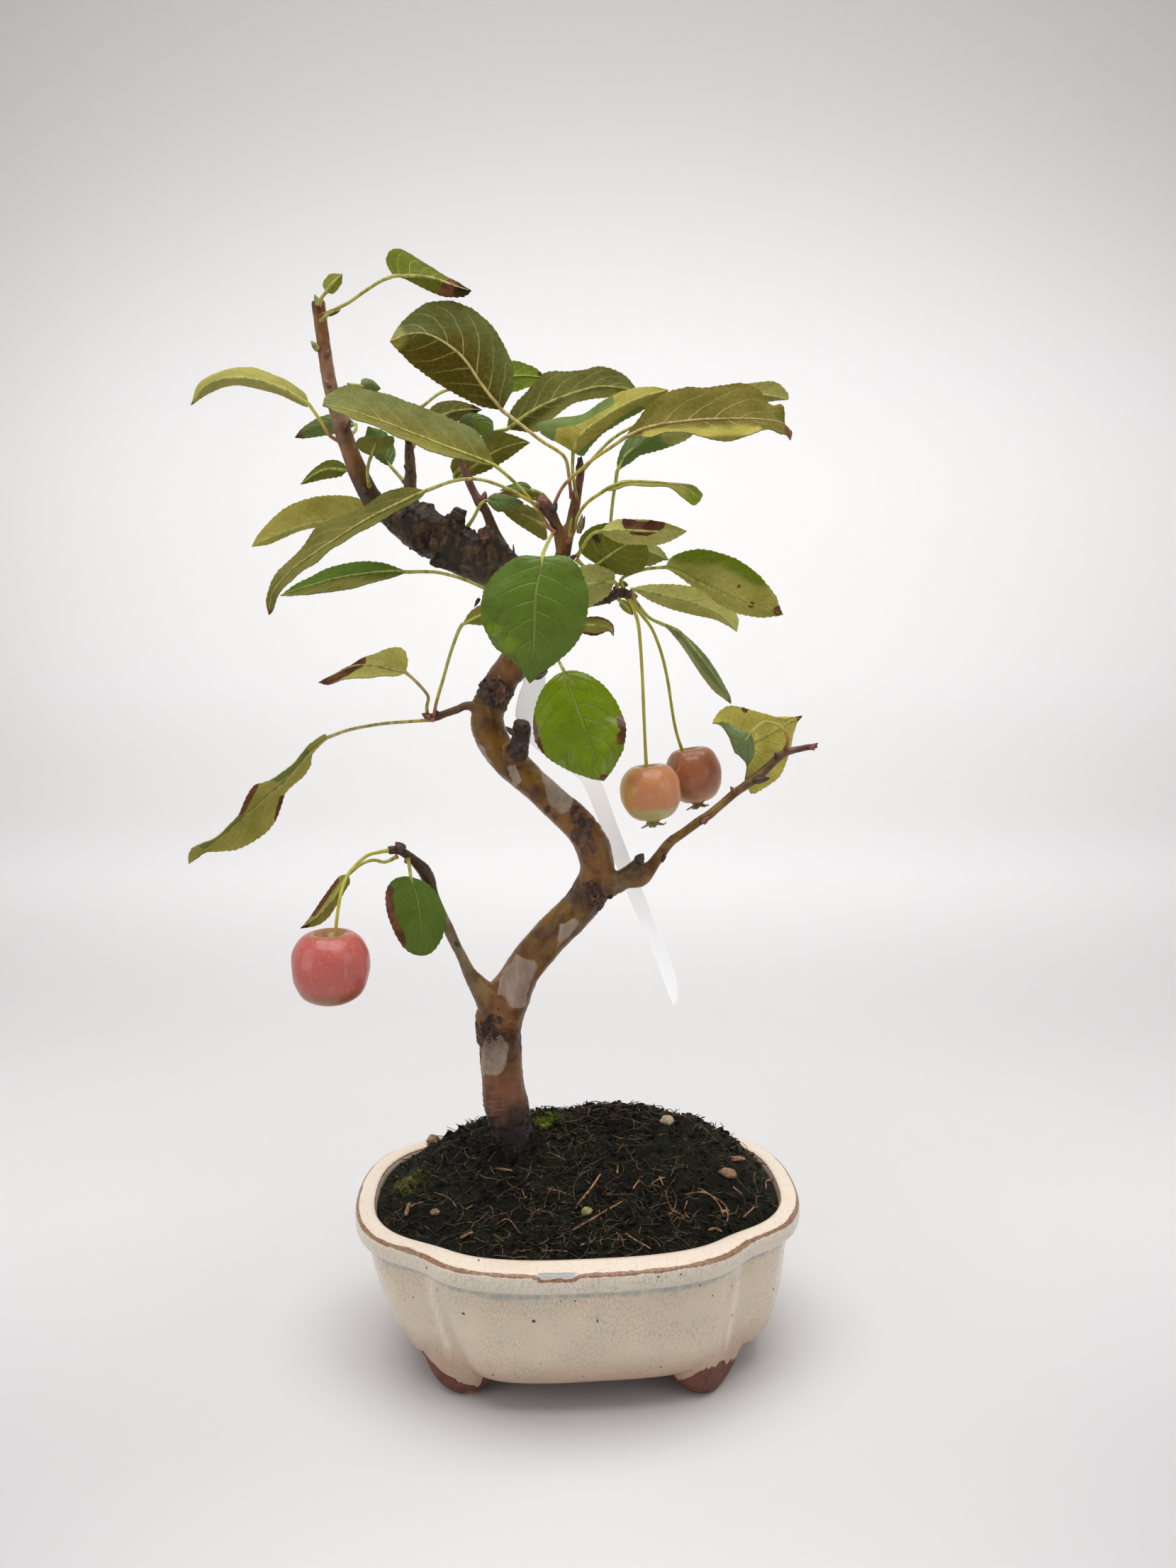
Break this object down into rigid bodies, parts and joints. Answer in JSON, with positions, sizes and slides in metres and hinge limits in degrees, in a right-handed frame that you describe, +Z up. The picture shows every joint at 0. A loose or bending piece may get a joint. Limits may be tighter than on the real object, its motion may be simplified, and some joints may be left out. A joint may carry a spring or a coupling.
{
  "type": "crabapple bonsai",
  "caption": "Crabapple bonsai with an S-curved trunk, serrated leaves and hanging fruit, standing in a low glazed ceramic pot with soil, stones, moss and a blank plant label.",
  "frame": {"origin": "middle of the whole plant's box, on the surface that the pot's feet stand on", "axes": "+Z up the tree, +X to the right along the pot's long side seen from the front, +Y to the back"},
  "size_m": [0.2106, 0.12, 0.3719],
  "materials": {
    "pot_glaze": "crackled cream glaze, pooled pale over a brown rim line, bare red-brown clay on the feet",
    "drain_mesh": "matte",
    "bark": "brown bark, smooth and slightly glossy on the bends, rough and dark at scars and joints",
    "soil": "dark fibrous soil",
    "pebble": "matte",
    "moss": "tufted moss",
    "chip": "dry bark chip",
    "leaf_green": "fresh leaf, satin upper side",
    "leaf_dark": "dark leaf, satin upper side",
    "leaf_pale": "pale matte underside",
    "leaf_olive": "olive matte underside",
    "leaf_teal": "blue-green leaf",
    "leaf_grey": "grey-green leaf",
    "fruit_skin": "thin waxy fruit skin",
    "label_plastic": "white blank label"
  },
  "bodies": {
    "root": {"pot": "pot_glaze", "drain_screen_left": "drain_mesh", "drain_screen_right": "drain_mesh", "trunk_and_branches": "bark", "soil": "soil", "stone_tan_back": "pebble", "stone_crest": "pebble", "stone_right": "pebble", "stone_left": "pebble", "stone_yellow": "pebble", "moss_behind_trunk": "moss", "moss_left_rim": "moss", "bark_chip": "chip", "leaf_top": "leaf_green", "leaf_bud": "leaf_green", "leaf_far_left": "leaf_pale", "leaf_wide_left": "leaf_pale", "leaf_round_top": "leaf_olive", "leaf_behind_round": "leaf_green", "leaf_crown": "leaf_olive", "leaf_twisted": "leaf_teal", "leaf_wide_right": "leaf_pale", "leaf_behind_right": "leaf_green", "leaf_narrow_right": "leaf_pale", "leaf_spotted_low": "leaf_pale", "leaf_round_small": "leaf_olive", "leaf_pale_back": "leaf_pale", "leaf_right": "leaf_olive", "leaf_right_lower": "leaf_pale", "leaf_grey_centre": "leaf_grey", "leaf_hanging": "leaf_dark", "leaf_burnt": "leaf_pale", "leaf_front": "leaf_dark", "leaf_glossy": "leaf_green", "leaf_left_hidden": "leaf_pale", "leaf_left_upper": "leaf_pale", "leaf_left_long": "leaf_olive", "leaf_folded_left": "leaf_teal", "leaf_behind_leader": "leaf_olive", "leaf_curled_front": "leaf_pale", "leaf_small_behind_leader": "leaf_green", "leaf_cup": "leaf_pale", "leaf_teal_behind": "leaf_teal", "leaf_stub_dark": "leaf_dark", "leaf_black_tip": "leaf_dark", "leaf_teal_folded": "leaf_teal", "leaf_dull_crown": "leaf_olive", "leaf_dark_crown": "leaf_dark", "leaf_thin_crown": "leaf_pale", "leaf_pale_crown": "leaf_pale", "leaf_by_fruit": "leaf_olive", "leaf_oval": "leaf_green", "leaf_curled_right": "leaf_pale", "leaf_upper_right": "leaf_dark", "fruit_red": "fruit_skin", "fruit_orange": "fruit_skin", "fruit_brown": "fruit_skin", "blank_label": "label_plastic"}
  },
  "joints": []
}
